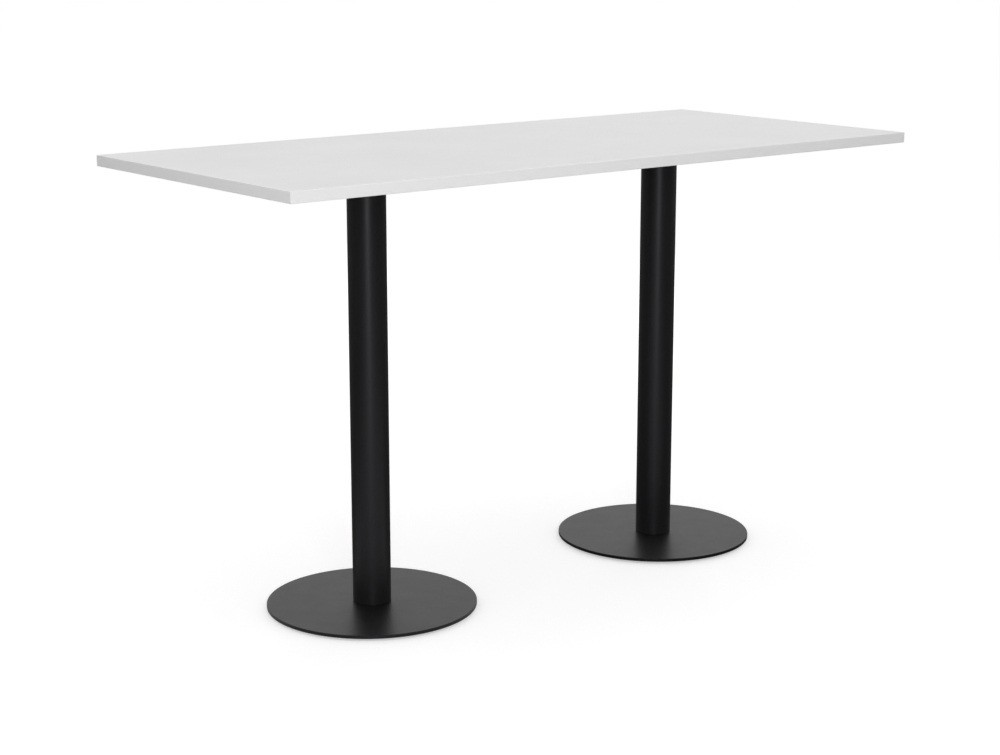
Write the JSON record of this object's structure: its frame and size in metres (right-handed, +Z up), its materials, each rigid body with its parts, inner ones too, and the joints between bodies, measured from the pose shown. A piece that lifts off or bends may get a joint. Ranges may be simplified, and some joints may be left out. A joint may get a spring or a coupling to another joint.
{
  "type": "standing meeting table",
  "caption": "Bar-height meeting table: a rectangular white laminate top on black pedestals, each a round steel column on a flat disc base with levelling glides.",
  "frame": {"origin": "on the floor, under the middle of the top", "axes": "+X along the long side to the right seen from the front, +Y to the back, +Z up"},
  "size_m": [1.8, 0.8, 1.05],
  "materials": {
    "laminate": "white high-pressure laminate, satin",
    "edge_band": "white ABS edge band, satin",
    "chipboard": "raw chipboard",
    "powder_coat": "black powder coat, satin",
    "bare_steel": "turned mild steel",
    "zinc": "bright zinc plate",
    "nylon": "black moulded nylon"
  },
  "bodies": {
    "table": {"upper_laminate": "laminate", "underside_laminate": "laminate", "edge_band_front": "edge_band", "edge_band_back": "edge_band", "edge_band_left": "edge_band", "edge_band_right": "edge_band", "core_board": "chipboard", "left_base_plate": "powder_coat", "left_column_tube": "powder_coat", "left_top_plate": "powder_coat", "left_foot_plug": "bare_steel", "left_head_plug": "bare_steel", "left_base_bolt_1": "zinc", "left_head_bolt_1": "zinc", "left_top_screw_1": "zinc", "left_base_bolt_2": "zinc", "left_head_bolt_2": "zinc", "left_top_screw_2": "zinc", "left_base_bolt_3": "zinc", "left_head_bolt_3": "zinc", "left_top_screw_3": "zinc", "left_base_bolt_4": "zinc", "left_head_bolt_4": "zinc", "left_top_screw_4": "zinc", "right_base_plate": "powder_coat", "right_column_tube": "powder_coat", "right_top_plate": "powder_coat", "right_foot_plug": "bare_steel", "right_head_plug": "bare_steel", "right_base_bolt_1": "zinc", "right_head_bolt_1": "zinc", "right_top_screw_1": "zinc", "right_base_bolt_2": "zinc", "right_head_bolt_2": "zinc", "right_top_screw_2": "zinc", "right_base_bolt_3": "zinc", "right_head_bolt_3": "zinc", "right_top_screw_3": "zinc", "right_base_bolt_4": "zinc", "right_head_bolt_4": "zinc", "right_top_screw_4": "zinc"},
    "left_pad_1": {"left_glide_pad_1": "nylon"},
    "left_stud_1": {"left_glide_stud_1": "zinc"},
    "left_pad_2": {"left_glide_pad_2": "nylon"},
    "left_stud_2": {"left_glide_stud_2": "zinc"},
    "left_pad_3": {"left_glide_pad_3": "nylon"},
    "left_stud_3": {"left_glide_stud_3": "zinc"},
    "left_pad_4": {"left_glide_pad_4": "nylon"},
    "left_stud_4": {"left_glide_stud_4": "zinc"},
    "right_pad_1": {"right_glide_pad_1": "nylon"},
    "right_stud_1": {"right_glide_stud_1": "zinc"},
    "right_pad_2": {"right_glide_pad_2": "nylon"},
    "right_stud_2": {"right_glide_stud_2": "zinc"},
    "right_pad_3": {"right_glide_pad_3": "nylon"},
    "right_stud_3": {"right_glide_stud_3": "zinc"},
    "right_pad_4": {"right_glide_pad_4": "nylon"},
    "right_stud_4": {"right_glide_stud_4": "zinc"}
  },
  "joints": [
    {"name": "left_pad_travel_1", "type": "slide", "parent": "table", "child": "left_pad_1", "axis": [0, 0, -1], "range_m": [0, 0.0025]},
    {"name": "left_stud_turn_1", "type": "hinge", "parent": "left_pad_1", "child": "left_stud_1", "pos_m": [-0.29863, 0.14637, 0.005], "axis": [0, 0, -1], "range_deg": [0, 720]},
    {"name": "left_pad_travel_2", "type": "slide", "parent": "table", "child": "left_pad_2", "axis": [0, 0, -1], "range_m": [0, 0.0025]},
    {"name": "left_stud_turn_2", "type": "hinge", "parent": "left_pad_2", "child": "left_stud_2", "pos_m": [-0.59137, 0.14637, 0.005], "axis": [0, 0, -1], "range_deg": [0, 720]},
    {"name": "left_pad_travel_3", "type": "slide", "parent": "table", "child": "left_pad_3", "axis": [0, 0, -1], "range_m": [0, 0.0025]},
    {"name": "left_stud_turn_3", "type": "hinge", "parent": "left_pad_3", "child": "left_stud_3", "pos_m": [-0.59137, -0.14637, 0.005], "axis": [0, 0, -1], "range_deg": [0, 720]},
    {"name": "left_pad_travel_4", "type": "slide", "parent": "table", "child": "left_pad_4", "axis": [0, 0, -1], "range_m": [0, 0.0025]},
    {"name": "left_stud_turn_4", "type": "hinge", "parent": "left_pad_4", "child": "left_stud_4", "pos_m": [-0.29863, -0.14637, 0.005], "axis": [0, 0, -1], "range_deg": [0, 720]},
    {"name": "right_pad_travel_1", "type": "slide", "parent": "table", "child": "right_pad_1", "axis": [0, 0, -1], "range_m": [0, 0.0025]},
    {"name": "right_stud_turn_1", "type": "hinge", "parent": "right_pad_1", "child": "right_stud_1", "pos_m": [0.59137, 0.14637, 0.005], "axis": [0, 0, -1], "range_deg": [0, 720]},
    {"name": "right_pad_travel_2", "type": "slide", "parent": "table", "child": "right_pad_2", "axis": [0, 0, -1], "range_m": [0, 0.0025]},
    {"name": "right_stud_turn_2", "type": "hinge", "parent": "right_pad_2", "child": "right_stud_2", "pos_m": [0.29863, 0.14637, 0.005], "axis": [0, 0, -1], "range_deg": [0, 720]},
    {"name": "right_pad_travel_3", "type": "slide", "parent": "table", "child": "right_pad_3", "axis": [0, 0, -1], "range_m": [0, 0.0025]},
    {"name": "right_stud_turn_3", "type": "hinge", "parent": "right_pad_3", "child": "right_stud_3", "pos_m": [0.29863, -0.14637, 0.005], "axis": [0, 0, -1], "range_deg": [0, 720]},
    {"name": "right_pad_travel_4", "type": "slide", "parent": "table", "child": "right_pad_4", "axis": [0, 0, -1], "range_m": [0, 0.0025]},
    {"name": "right_stud_turn_4", "type": "hinge", "parent": "right_pad_4", "child": "right_stud_4", "pos_m": [0.59137, -0.14637, 0.005], "axis": [0, 0, -1], "range_deg": [0, 720]}
  ],
  "couplings": [
    {"joint": "left_pad_travel_1", "follows": "left_stud_turn_1", "m_per_rad": 0.00019894},
    {"joint": "left_pad_travel_2", "follows": "left_stud_turn_2", "m_per_rad": 0.00019894},
    {"joint": "left_pad_travel_3", "follows": "left_stud_turn_3", "m_per_rad": 0.00019894},
    {"joint": "left_pad_travel_4", "follows": "left_stud_turn_4", "m_per_rad": 0.00019894},
    {"joint": "right_pad_travel_1", "follows": "right_stud_turn_1", "m_per_rad": 0.00019894},
    {"joint": "right_pad_travel_2", "follows": "right_stud_turn_2", "m_per_rad": 0.00019894},
    {"joint": "right_pad_travel_3", "follows": "right_stud_turn_3", "m_per_rad": 0.00019894},
    {"joint": "right_pad_travel_4", "follows": "right_stud_turn_4", "m_per_rad": 0.00019894}
  ]
}
